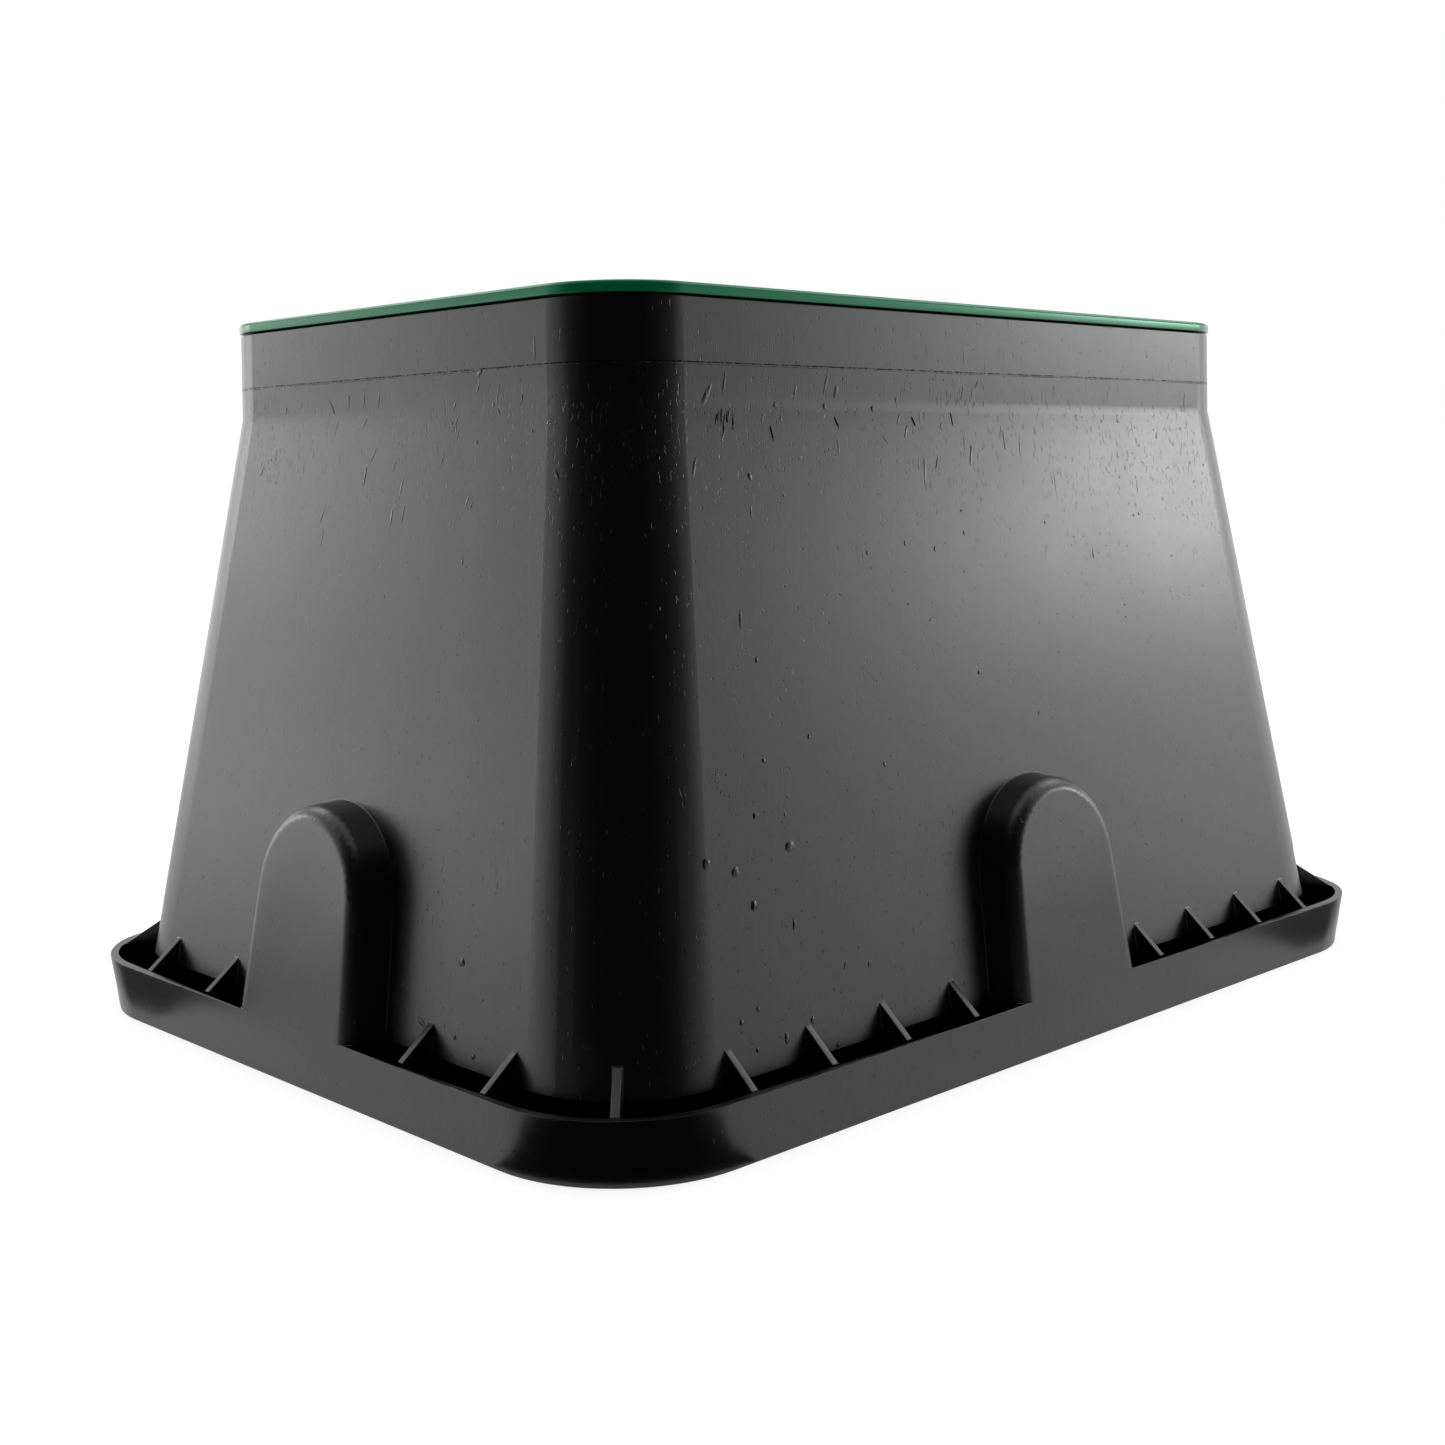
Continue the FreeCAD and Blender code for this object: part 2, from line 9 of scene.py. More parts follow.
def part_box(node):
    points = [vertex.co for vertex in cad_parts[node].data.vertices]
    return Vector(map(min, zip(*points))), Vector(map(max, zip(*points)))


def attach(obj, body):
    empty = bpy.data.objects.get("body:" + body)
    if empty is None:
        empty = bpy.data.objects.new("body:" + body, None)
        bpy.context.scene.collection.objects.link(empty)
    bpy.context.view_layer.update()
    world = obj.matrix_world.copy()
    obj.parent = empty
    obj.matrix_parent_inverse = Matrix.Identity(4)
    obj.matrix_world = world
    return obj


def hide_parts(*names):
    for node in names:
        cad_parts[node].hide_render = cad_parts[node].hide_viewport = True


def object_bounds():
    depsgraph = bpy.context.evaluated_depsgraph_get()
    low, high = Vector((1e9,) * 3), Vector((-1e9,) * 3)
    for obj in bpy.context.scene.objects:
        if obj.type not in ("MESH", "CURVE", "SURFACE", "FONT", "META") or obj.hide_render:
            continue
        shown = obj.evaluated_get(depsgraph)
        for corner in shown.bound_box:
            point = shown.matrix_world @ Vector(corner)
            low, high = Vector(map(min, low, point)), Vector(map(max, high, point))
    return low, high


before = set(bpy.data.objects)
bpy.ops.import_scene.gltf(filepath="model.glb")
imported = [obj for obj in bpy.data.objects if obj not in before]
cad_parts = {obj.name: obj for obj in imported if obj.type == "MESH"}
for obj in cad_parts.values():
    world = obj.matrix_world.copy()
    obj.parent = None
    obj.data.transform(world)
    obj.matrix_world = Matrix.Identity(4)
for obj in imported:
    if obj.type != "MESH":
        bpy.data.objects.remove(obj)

packed_low, packed_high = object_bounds()
mm = 0.001

# The view: the camera stands at the box's near corner, a little above the lid and looking slightly
# down, so the lid shows as a thin band and both near walls show whole.
view_place = Vector((-633.08, -631.54, 236.56)) * mm
view_heading = 43.653
view_drop = 7.563
view_roll = -0.911
view_lens = 46.845
view_shift = (0.0115, 0.00065)

lens = bpy.data.cameras.new("photo_lens")
lens.lens = view_lens
lens.sensor_width = 36.0
lens.shift_x, lens.shift_y = view_shift
camera = bpy.data.objects.new("photo_camera", lens)
turned = Matrix.Rotation(radians(-view_heading), 4, "Z") @ Matrix.Rotation(radians(90 - view_drop), 4, "X")
camera.matrix_world = Matrix.Translation(view_place) @ turned @ Matrix.Rotation(radians(view_roll), 4, "Z")
bpy.context.scene.collection.objects.link(camera)
bpy.context.scene.camera = camera
bpy.context.scene.view_settings.view_transform = "Standard"


def add_node(tree, kind, sockets=None, **settings):
    """Adds one node. Each socket named gets a value, or the output that feeds it."""
    made = tree.nodes.new(kind)
    for name, value in settings.items():
        setattr(made, name, value)
    for socket, value in (sockets or {}).items():
        if isinstance(value, bpy.types.NodeSocket):
            tree.links.new(value, made.inputs[socket])
        else:
            made.inputs[socket].default_value = value
    return made


def colour(code):
    """A hex colour as seen on a screen, turned to the linear values that a shader takes."""
    parts = [int(code[place:place + 2], 16) / 255 for place in (1, 3, 5)]
    return tuple(v / 12.92 if v <= 0.04045 else ((v + 0.055) / 1.055) ** 2.4 for v in parts) + (1.0,)


def seen_directly(tree):
    """One for rays that the camera sends, straight, off gloss or through glass, and nought for the rest."""
    path = add_node(tree, "ShaderNodeLightPath")
    near = add_node(tree, "ShaderNodeMath", {0: path.outputs["Is Camera Ray"],
                                             1: path.outputs["Is Glossy Ray"]}, operation="MAXIMUM")
    seen = add_node(tree, "ShaderNodeMath", {0: near.outputs[0],
                                             1: path.outputs["Is Transmission Ray"]}, operation="MAXIMUM")
    return seen.outputs[0]


# The studio: a white sweep of paper all round, lit softly. Only the direct and mirrored views see it
# at full white, so the light that falls on the box stays at a plain level.
fill_level = 0.95
sheet_steps = 24


def stage_sheet(shape, name, material):
    """Makes an object of the stage from its bmesh."""
    mesh = bpy.data.meshes.new(name)
    shape.to_mesh(mesh)
    shape.free()
    mesh.materials.append(material)
    made = bpy.data.objects.new(name, mesh)
    bpy.context.scene.collection.objects.link(made)
    return made


def swept_sheet(shape, ends, centre, turn):
    """Sweeps the line between two places round an upright axis, through a turn in degrees."""
    line = [shape.verts.new(end) for end in ends]
    edge = shape.edges.new(line)
    bmesh.ops.spin(shape, geom=line + [edge], cent=centre, axis=(0, 0, 1), dvec=(0, 0, 0),
                   angle=radians(turn), steps=sheet_steps, use_merge=False)


def only_mirrored(sheet):
    """Leaves a dark sheet to mirrored rays, so that it isn't seen itself and shades nothing."""
    sheet.visible_camera = False
    sheet.visible_diffuse = False
    sheet.visible_shadow = False
    sheet.visible_transmission = False


room = bpy.data.worlds.new("white_room")
room.use_nodes = True
room.node_tree.nodes.clear()
seen = seen_directly(room.node_tree)
level = add_node(room.node_tree, "ShaderNodeMapRange", {"Value": seen, "To Min": fill_level, "To Max": 1.0})
air = add_node(room.node_tree, "ShaderNodeBackground", {"Color": colour("#FFFFFF"),
                                                        "Strength": level.outputs[0]})
add_node(room.node_tree, "ShaderNodeOutputWorld", {"Surface": air.outputs[0]})
bpy.context.scene.world = room

# The floor is matt white paper. A share of its white is its own, so that it joins the background
# without more light on the box, and the rest takes the box's shadow. Inside the box it has none of
# its own, so the inside stays dark when seen through the lid's slots.
floor_half = 20.0
inside_share = 0.85
paper_white = "#B3B3B3"
paper_glow = 0.68
paper = bpy.data.materials.new("matt_white_paper")
paper.use_nodes = True
paper.node_tree.nodes.clear()
matt = add_node(paper.node_tree, "ShaderNodeBsdfDiffuse", {"Color": colour(paper_white)})
spot = add_node(paper.node_tree, "ShaderNodeTexCoord").outputs["Object"]
to_box = (1 / packed_high[0], 1 / packed_high[1], 0)
scaled = add_node(paper.node_tree, "ShaderNodeVectorMath", {0: spot, 1: to_box}, operation="MULTIPLY")
folded = add_node(paper.node_tree, "ShaderNodeVectorMath", {0: scaled.outputs[0]}, operation="ABSOLUTE")
sides = add_node(paper.node_tree, "ShaderNodeSeparateXYZ", {0: folded.outputs[0]})
furthest = add_node(paper.node_tree, "ShaderNodeMath", {0: sides.outputs["X"], 1: sides.outputs["Y"]},
                    operation="MAXIMUM")
outside = add_node(paper.node_tree, "ShaderNodeMath", {0: furthest.outputs[0], 1: inside_share},
                   operation="GREATER_THAN")
paper_share = add_node(paper.node_tree, "ShaderNodeMath", {0: outside.outputs[0], 1: paper_glow},
                       operation="MULTIPLY")
share = add_node(paper.node_tree, "ShaderNodeMath", {0: seen_directly(paper.node_tree),
                                                     1: paper_share.outputs[0]}, operation="MULTIPLY")
glow = add_node(paper.node_tree, "ShaderNodeEmission", {"Strength": share.outputs[0]})
both = add_node(paper.node_tree, "ShaderNodeAddShader", {0: matt.outputs[0], 1: glow.outputs[0]})
add_node(paper.node_tree, "ShaderNodeOutputMaterial", {"Surface": both.outputs[0]})
sheet = bmesh.new()
bmesh.ops.create_grid(sheet, x_segments=1, y_segments=1, size=floor_half)
floor = stage_sheet(sheet, "paper_floor", paper)

# A dark cloth hangs behind the camera, as a half round, so that the near corner mirrors it and stays
# black. Only mirrored rays meet it, so the floor is lit evenly and the rest of the room stays white.
cloth_radius = 3.2
cloth_height = 6.4
cloth_from, cloth_to = 157.5, 302.0
felt_black = "#050505"
felt_rough = 0.95
felt = bpy.data.materials.new("black_felt")
felt.use_nodes = True
felt.node_tree.nodes["Principled BSDF"].inputs["Base Color"].default_value = colour(felt_black)
felt.node_tree.nodes["Principled BSDF"].inputs["Roughness"].default_value = felt_rough
hung = bmesh.new()
start = Matrix.Rotation(radians(cloth_from), 3, "Z") @ Vector((cloth_radius, 0, 0))
swept_sheet(hung, (start, start + Vector((0, 0, cloth_height))), (0, 0, 0), cloth_to - cloth_from)
cloth = stage_sheet(hung, "dark_cloth", felt)
only_mirrored(cloth)

# A black card lies on the floor in front of the near corner, from the lip out to the cloth, and a
# strip of it beside each far end of the lip. It is painted shade: it stands for the floor's shade next
# to the box, as the lip mirrors it. Only mirrored rays meet it, so the floor stays pale.
card_centre = Vector((-201.4, -133.3, 0.3)) * mm
card_from, card_to = 174.0, 281.0
card_near, card_far = 58.2 * mm, 2.9
floor_shade_strips = (((-0.330, 0.125), (-0.266, 0.300)), ((0.195, -0.260), (0.370, -0.198)))
card = bmesh.new()
first = Matrix.Rotation(radians(card_from), 3, "Z") @ Vector((1, 0, 0))
swept_sheet(card, (card_centre + first * card_near, card_centre + first * card_far), card_centre,
            card_to - card_from)
for low, high in floor_shade_strips:
    size = Matrix.Diagonal((high[0] - low[0], high[1] - low[1], 1.0, 1.0))
    middle = Vector(((low[0] + high[0]) / 2, (low[1] + high[1]) / 2, card_centre.z))
    bmesh.ops.create_grid(card, x_segments=1, y_segments=1, size=0.5,
                          matrix=Matrix.Translation(middle) @ size)
# The card is painted shade of the floor beside the box, seen only in the lip's mirror.
floor_shade_card = stage_sheet(card, "painted_floor_shade", felt)
only_mirrored(floor_shade_card)

# Soft lamps on both sides light the walls: a small bright one, a wide weak one low down, one high
# up, a strip near the floor and one at the side. Bearings are in degrees, and lengths in metres.
lamp_aim = Vector((0, 0, 0.15))


def soft_lamp(name, bearing, distance, height, size, radiance):
    """A rectangular soft lamp that faces the box: its face has the radiance given, where 1 is white."""
    lamp = bpy.data.lights.new(name, "AREA")
    lamp.shape = "RECTANGLE"
    lamp.size, lamp.size_y = size
    lamp.energy = radiance * pi * size[0] * size[1]
    stand = bpy.data.objects.new(name, lamp)
    place = Matrix.Rotation(radians(bearing), 3, "Z") @ Vector((distance, 0, height))
    aim = (lamp_aim - place).to_track_quat("-Z", "Y")
    stand.matrix_world = Matrix.Translation(place) @ aim.to_matrix().to_4x4()
    stand.visible_camera = False
    bpy.context.scene.collection.objects.link(stand)


soft_lamp("left_soft_box", 115, 2.5, 0.72, (0.4, 0.6), 8.6)
soft_lamp("left_panel", 124, 3.3, 0.32, (1.5, 0.7), 0.8)
soft_lamp("left_high_box", 97, 2.4, 2.2, (1.0, 1.0), 3.0)
soft_lamp("left_low_strip", 121, 3.2, 0.10, (1.8, 0.2), 2.5)
soft_lamp("left_side_box", 93, 2.8, 0.50, (1.6, 0.9), 1.2)
soft_lamp("right_soft_box", -31, 2.6, 0.66, (0.42, 0.28), 27.0)
soft_lamp("right_panel", -38, 3.3, 0.32, (1.6, 0.7), 0.55)
soft_lamp("right_high_box", -12, 2.4, 2.2, (1.0, 1.0), 3.0)
soft_lamp("right_low_strip", -34, 3.2, 0.10, (1.4, 0.2), 1.4)
soft_lamp("right_side_box", -5, 2.8, 0.50, (1.5, 0.9), 1.0)

# The body is moulded in one piece from black polyethylene: satin, with a fine grain drawn down the
# walls where the mould pulled off, duller on the collar, with a broken parting line round it whose
# dark band is painted shade of the step between the mould's halves, a belt of short scratches below,
# small pits, and every edge rounded a little.
body_black = "#040404"
body_gloss = 0.335
polyethylene_ior = 1.52
edge_round = 0.45 * mm
shoulder_soft = 2.6 * mm
grain_width = 0.8 * mm
grain_length = 14 * mm
grain_deep = 0.01 * mm
collar_foot = 262 * mm
collar_blend = 10 * mm
collar_shine = 0.8
# The parting line's dark band is painted shade: the wall's reflection is dimmed there.
parting_height = 276.4 * mm
parting_shade_half = 0.36 * mm
scratch_width = 0.9 * mm
scratch_length = 6 * mm
scratch_lean = (0.05, -0.12, 0.0)
scratch_belt = (200 * mm, 245 * mm, 268 * mm, 274 * mm)
scratch_deep = 0.1 * mm
pit_spacing = 5 * mm
pit_deep = 0.05 * mm


def moulded_black():
    """Satin black that shows soft light in fine upright strands, broken by scratches and pits."""
    made = bpy.data.materials.new("moulded_polyethylene_black")
    made.use_nodes = True
    tree = made.node_tree
    skin = tree.nodes["Principled BSDF"]
    skin.inputs["Base Color"].default_value = colour(body_black)
    skin.inputs["IOR"].default_value = polyethylene_ior

    def eased(value, low, high, to_low, to_high):
        return add_node(tree, "ShaderNodeMapRange", {"Value": value, "From Min": low, "From Max": high,
                                                     "To Min": to_low, "To Max": to_high}).outputs[0]

    def worked(operation, first, second=0.0):
        return add_node(tree, "ShaderNodeMath", {0: first, 1: second}, operation=operation).outputs[0]

    def dented(height, deep, normal=None, invert=True):
        sockets = {"Height": height, "Strength": 0.8, "Distance": deep}
        if normal:
            sockets["Normal"] = normal
        return add_node(tree, "ShaderNodeBump", sockets, invert=invert).outputs[0]

    place = add_node(tree, "ShaderNodeTexCoord").outputs["Object"]
    height = add_node(tree, "ShaderNodeSeparateXYZ", {"Vector": place}).outputs["Z"]
    broad = add_node(tree, "ShaderNodeTexNoise", {"Vector": place, "Scale": 14.0, "Detail": 3.0})
    tree.links.new(eased(broad.outputs[0], 0.3, 0.7, body_gloss - 0.01, body_gloss + 0.015),
                   skin.inputs["Roughness"])

    grain_scale = (1 / grain_width, 1 / grain_width, 1 / grain_length)
    drawn = add_node(tree, "ShaderNodeMapping", {"Vector": place, "Scale": grain_scale})
    grain = add_node(tree, "ShaderNodeTexNoise", {"Vector": drawn.outputs[0], "Scale": 1.0, "Detail": 3.0})
    scratch_scale = (1 / scratch_width, 1 / scratch_width, 1 / scratch_length)
    thin = add_node(tree, "ShaderNodeMapping", {"Vector": place, "Rotation": scratch_lean,
                                                "Scale": scratch_scale})
    lines = add_node(tree, "ShaderNodeTexNoise", {"Vector": thin.outputs[0], "Scale": 1.0, "Detail": 1.0})
    in_belt = worked("MULTIPLY", eased(height, scratch_belt[0], scratch_belt[1], 0.0, 0.06),
                     eased(height, scratch_belt[2], scratch_belt[3], 1.0, 0.0))
    scratches = eased(worked("ADD", lines.outputs[0], in_belt), 0.72, 0.80, 0.0, 1.0)
    cells = add_node(tree, "ShaderNodeTexVoronoi", {"Vector": place, "Scale": 1 / pit_spacing})
    pits = eased(cells.outputs["Distance"], 0.05, 0.12, 1.0, 0.0)
    skin_normal = dented(grain.outputs[0], grain_deep, invert=False)
    skin_normal = dented(scratches, scratch_deep, skin_normal)
    tree.links.new(dented(pits, pit_deep, skin_normal), skin.inputs["Normal"])

    # Painted shade: in a thin broken band at the parting line the wall's reflection is dimmed to a tenth,
    # where the step between the mould's halves shades it.
    teeth = add_node(tree, "ShaderNodeTexNoise", {"Vector": place, "Scale": 700.0, "Detail": 1.0})
    from_line = worked("ABSOLUTE", worked("SUBTRACT", height, parting_height))
    line = worked("MULTIPLY", eased(from_line, parting_shade_half * 0.5, parting_shade_half, 1.0, 0.0),
                  eased(teeth.outputs[0], 0.36, 0.56, 0.15, 1.0))
    shine = worked("MULTIPLY", eased(grain.outputs[0], 0.3, 0.7, 0.47, 0.53),
                   eased(height, collar_foot - collar_blend, collar_foot + collar_blend, 1.0, collar_shine))
    shine = worked("MULTIPLY", shine, eased(pits, 0.0, 1.0, 1.0, 0.5))
    tree.links.new(worked("MULTIPLY", shine, eased(line, 0.0, 1.0, 1.0, 0.1)),
                   skin.inputs["Specular IOR Level"])
    return made


def edges_turned_by(shape, least, most=pi):
    """The edges whose two faces turn by an angle between the two given."""
    return [e for e in shape.edges if e.is_manifold and least < e.calc_face_angle(0.0) <= most]


def soften(shape, edges, size, segments):
    bmesh.ops.bevel(shape, geom=edges, offset=size, offset_type="OFFSET", segments=segments, profile=0.5,
                    affect="EDGES", material=-1, clamp_overlap=False)


def copy_of(node):
    """A copy of a solid's mesh with its loose triangles merged and its flat faces made whole."""
    shape = bmesh.new()
    shape.from_mesh(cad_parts[node].data)
    bmesh.ops.remove_doubles(shape, verts=shape.verts, dist=0.002 * mm)
    bmesh.ops.dissolve_limit(shape, angle_limit=radians(0.3), verts=shape.verts, edges=shape.edges)
    return shape


def finished(shape, name, material, rider, smooth_to=32.0):
    """Makes the piece from its bmesh, shades it smooth up to an angle, and lets it ride on its body."""
    mesh = bpy.data.meshes.new(name)
    shape.to_mesh(mesh)
    shape.free()
    mesh.materials.append(material)
    mesh.shade_smooth()
    mesh.set_sharp_from_angle(angle=radians(smooth_to))
    piece = bpy.data.objects.new(name, mesh)
    bpy.context.scene.collection.objects.link(piece)
    even = piece.modifiers.new("even_shading", "WEIGHTED_NORMAL")
    even.weight = 100
    even.keep_sharp = True
    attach(piece, rider)
    return piece


black = moulded_black()
body_shape = copy_of("box_body")

# In the solids, the feet of the four corner ribs come through the lip by 0.7 mm. They end flush here.
merge_within = 0.1 * mm
lip_corner = Vector((200.85, 132.75)) * mm
lip_corner_radius = 57.15 * mm
rib_foot = 2 * mm
feet = [v for v in body_shape.verts if abs(v.co.z - rib_foot) < merge_within]
for corner in feet:
    out = Vector((abs(corner.co.x), abs(corner.co.y))) - lip_corner
    if min(out) > 0 and out.length > lip_corner_radius:
        flush = lip_corner + out.normalized() * lip_corner_radius
        corner.co.x = copysign(flush.x, corner.co.x)
        corner.co.y = copysign(flush.y, corner.co.y)
bmesh.ops.remove_doubles(body_shape, verts=feet, dist=merge_within)

# The shoulder, where the collar meets the walls, is a soft bend. Every sharp edge is rounded, and what
# the rounding pushes past the solid's box is brought back to it.
collar_height = 37.4 * mm
shoulder_turn = (radians(7), radians(10))
sharp_turn = radians(30)
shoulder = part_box("box_body")[1].z - collar_height
crease = [e for e in edges_turned_by(body_shape, *shoulder_turn)
          if all(abs(v.co.z - shoulder) < 0.3 * mm for v in e.verts)]
soften(body_shape, crease, shoulder_soft, 3)
soften(body_shape, edges_turned_by(body_shape, sharp_turn), edge_round, 2)
for corner in body_shape.verts:
    corner.co.x = min(packed_high[0], max(packed_low[0], corner.co.x))
    corner.co.y = min(packed_high[1], max(packed_low[1], corner.co.y))
body = finished(body_shape, "moulded_body", black, "box")
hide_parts("box_body")

# Flash: the mould's halves leave a thin, broken ridge round the collar, and another along the lip's
# outer top edge, stronger across the foot of each arch.
collar_flash_steps = 1800
lip_flash_steps = 900
collar_flash_height = 275.8 * mm
collar_flash = 0.34 * mm
lip_flash = 0.2 * mm
lip_top = 24.5 * mm
arch_foot_half = 44 * mm
outside_reach = 0.5


def ring_round(tree, height, steps):
    """Places on the outside of a piece at one height, all the way round, with the way out at each."""
    ring = []
    for step in range(steps):
        out = Matrix.Rotation(2 * pi * step / steps, 3, "Z") @ Vector((1, 0, 0))
        hit, _, _, _ = tree.ray_cast(out * outside_reach + Vector((0, 0, height)), -out)
        ring.append((hit, out))
    return ring


def ridge(shape, places, sizes):
    """Adds a thin round ridge along a closed row of places, with its own radius at each."""
    line = bpy.data.curves.new("ridge", "CURVE")
    line.dimensions = "3D"
    line.bevel_depth = 1.0
    line.bevel_resolution = 1
    path = line.splines.new("POLY")
    path.points.add(len(places) - 1)
    for knot, place, size in zip(path.points, places, sizes):
        knot.co = (*place, 1.0)
        knot.radius = size
    path.use_cyclic_u = True
    holder = bpy.data.objects.new("ridge", line)
    mesh = bpy.data.meshes.new_from_object(holder)
    shape.from_mesh(mesh)
    bpy.data.objects.remove(holder)
    bpy.data.curves.remove(line)
    bpy.data.meshes.remove(mesh)


moulding = bmesh.new()
moulding.from_mesh(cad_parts["box_body"].data)
body_tree = BVHTree.FromBMesh(moulding)
moulding.free()
flash = bmesh.new()
places, sizes = [], []
for place, out in ring_round(body_tree, collar_flash_height, collar_flash_steps):
    strength = 0.5 * noise.noise(place * 30) + 0.7 * noise.noise(place * 700)
    sizes.append(collar_flash * min(1.0, max(0.3, 0.65 + strength)))
    places.append(place - out * collar_flash * 0.35)
ridge(flash, places, sizes)
places, sizes = [], []
for place, out in ring_round(body_tree, lip_top - 0.3 * mm, lip_flash_steps):
    strength = noise.noise(place * 70) + 0.5 * noise.noise(place * 500)
    if min(abs(place.x), abs(place.y)) < arch_foot_half:
        strength += 0.35
    size = lip_flash * min(1.3, max(0.2, 0.6 + strength))
    sizes.append(size)
    places.append(Vector((place.x, place.y, lip_top - 0.05 * mm)) - out * 1.5 * lip_flash)
ridge(flash, places, sizes)
finished(flash, "mould_flash", black, "box", smooth_to=80.0)

# Handling has left burrs, scuffs and lumps on the walls. The plainest ones on the two walls that the
# photo shows are each put in their place, in millimetres: the upper end, as distance along the wall
# and height, how far it leans, how far it runs down, and the width. Strays of the same kinds lie
# between them and on the other two walls.
front_burrs = [
    (-154, 270, -6, 10, 2.2), (-147, 274, -2, 9, 1.1), (-110, 269, -2, 6, 1.2), (-92, 275, -3, 9, 1.1),
    (-87, 270, -2, 6, 1.9), (-52, 266, -1, 3, 1.1), (-47, 255, -3, 6, 1.2), (-39, 242, -2, 12, 1.1),
    (-30, 243, -3, 7, 1.2), (-8, 246, -2, 8, 1.5), (1, 274, -3, 4, 1.2), (15, 252, 0, 8, 1.2),
    (-51, 259, -2, 4, 1.1), (-25, 256, -2, 3, 1.1), (-166, 243, -3, 8, 1.4), (-63, 250, 3, 3, 0.8),
]
front_scuffs = [
    (-126, 254, 1, 6, 0.7), (-90, 258, 2, 5, 0.7), (-44, 258, 2, 4, 0.8), (-19, 260, 1, 6, 0.6),
]
front_lumps = [
    (-122, 263, 0, 3, 2.0), (-95, 263, 0, 3, 2.0), (-67, 262, 0, 2, 2.4), (-140, 237, 0, 3, 2.0),
    (-81, 206, 0, 2, 1.4), (-58, 209, 0, 2, 1.3), (-40, 206, 0, 2, 1.4), (-20, 212, 0, 2, 1.3),
    (-154, 187, -1, 6, 1.4), (-149, 170, 0, 2, 1.7), (-22, 155, 0, 2, 1.7), (-127, 140, 0, 2, 1.4),
    (-152, 134, 0, 2, 2.0), (-87, 125, 0, 2, 1.6), (-160, 115, 0, 2, 2.6), (-144, 103, -1, 4, 4.3),
    (-186, 103, -1, 4, 3.6), (-173, 98, -1, 4, 3.4), (-166, 85, -1, 4, 3.1), (-147, 75, -1, 4, 1.8),
    (-180, 45, 0, 2, 2.3), (-171, 48, 0, 2, 2.0), (-158, 36, -1, 4, 2.3), (-144, 39, -1, 3, 1.9),
    (-174, 34, 0, 2, 1.8), (-133, 27, 0, 2, 1.8), (-123, 55, -1, 3, 1.1), (-110, 53, -1, 3, 1.2),
]
left_burrs = [
    (-41, 269, 4, 6, 1.2), (-36, 263, 4, 3, 1.1), (-74, 267, -1, 3, 1.1), (-26, 270, -1, 2, 1.6),
    (-13, 261, -3, 4, 1.2), (47, 267, -3, 7, 1.0), (70, 264, -1, 2, 1.5), (72, 262, 2, 3, 1.1),
    (-10, 241, -1, 7, 1.4), (-4, 249, -4, 6, 0.9), (63, 276, -3, 2, 1.6), (94, 286, 0, 9, 1.1),
    (-89, 243, -2, 5, 1.1), (108, 240, 3, 5, 1.4), (104, 257, -2, 2, 1.2), (47, 259, 1, 7, 0.8),
]
left_lumps = [
    (62, 37, 4, 3, 2.2), (97, 30, 0, 1, 2.2), (50, 48, 0, 2, 1.2), (85, 35, 0, 2, 2.0),
    (85, 62, 0, 2, 3.0),
]

# A row of small burrs under the parting line, a patch of scuffs side by side, and a curved scar.
front_burrs += [(along, 265, -1, 3, 1.0) for along in range(-20, 5, 6)]
patch_along, patch_step = -153, 1.4
front_scuffs += [(patch_along + patch_step * number, 258 + number % 3, -1 - number % 2,
                  4 + 5 * number % 4, 0.6) for number in range(7)]
scar_along, scar_height, scar_radius = -171, 129, 6
for bend in range(135, 271, 22):
    front_lumps.append((scar_along + scar_radius * cos(radians(bend)),
                        scar_height + scar_radius * sin(radians(bend)), 0, 1, 0.7))
burr_lift = 0.1
scuff_lift = 0.5
lump_lift = 0.15
uneven_share = 0.5
ray_start = 0.4
off_the_wall = 1.6 * mm
facing_least = 0.9
stray_marks = 40
stray_seed = 27
long_reach, short_reach = 160, 95


def mark(shape, turn, ends, width, lift):
    """A low uneven mound on the wall that faces -Y, turned to its own wall by quarter turns."""
    quarter = Matrix.Rotation(turn * pi / 2, 3, "Z")
    seats = []
    middle_along, middle_height = (ends[0][0] + ends[1][0]) / 2, (ends[0][1] + ends[1][1]) / 2
    for along, height in (*ends, (middle_along, middle_height)):
        start = quarter @ Vector((along * mm, -ray_start, height * mm))
        hit, normal, _, _ = body_tree.ray_cast(start, quarter @ Vector((0, 1, 0)))
        seats.append(hit)
    run, middle = seats[1] - seats[0], seats[2]
    facing = abs(normal.dot(quarter @ Vector((0, 1, 0))))
    if abs(run.dot(normal)) > off_the_wall or facing < facing_least:
        return
    half = width * mm / 2
    side = normal.cross(run).normalized()
    axes = (run.normalized() * max(run.length / 2, half), side * half, normal * width * mm * lift)
    ball = bmesh.ops.create_uvsphere(shape, u_segments=10, v_segments=7, radius=1.0)["verts"]
    for point in ball:
        uneven = point.co * (1 + uneven_share * noise.noise(point.co * 1.6 + middle * 900))
        point.co = middle + Matrix(axes).transposed() @ uneven


marks = bmesh.new()
for turn, lift, places in ((0, burr_lift, front_burrs), (0, scuff_lift, front_scuffs),
                           (0, lump_lift, front_lumps), (3, burr_lift, left_burrs),
                           (3, lump_lift, left_lumps)):
    for along, height, lean, drop, width in places:
        mark(marks, turn, ((along, height), (along + lean, height - drop)), width, lift)
chance = random.Random(stray_seed)
for turn in range(4):
    reach = short_reach if turn % 2 else long_reach
    for number in range(stray_marks):
        along = chance.uniform(-reach, reach)
        if number % 2:
            height = 258 - 200 * chance.random() ** 1.4
            length, width = chance.uniform(0.5, 1.3), chance.uniform(0.7, 1.5)
        else:
            height = 272 - 70 * chance.random() ** 1.8
            length, width = chance.uniform(3.0, 9.0), chance.uniform(0.6, 1.0)
        lean = chance.uniform(0.05, 0.45) * length
        mark(marks, turn, ((along, height), (along - lean, height - length)), width, burr_lift)
finished(marks, "handling_marks", black, "box", smooth_to=60.0)

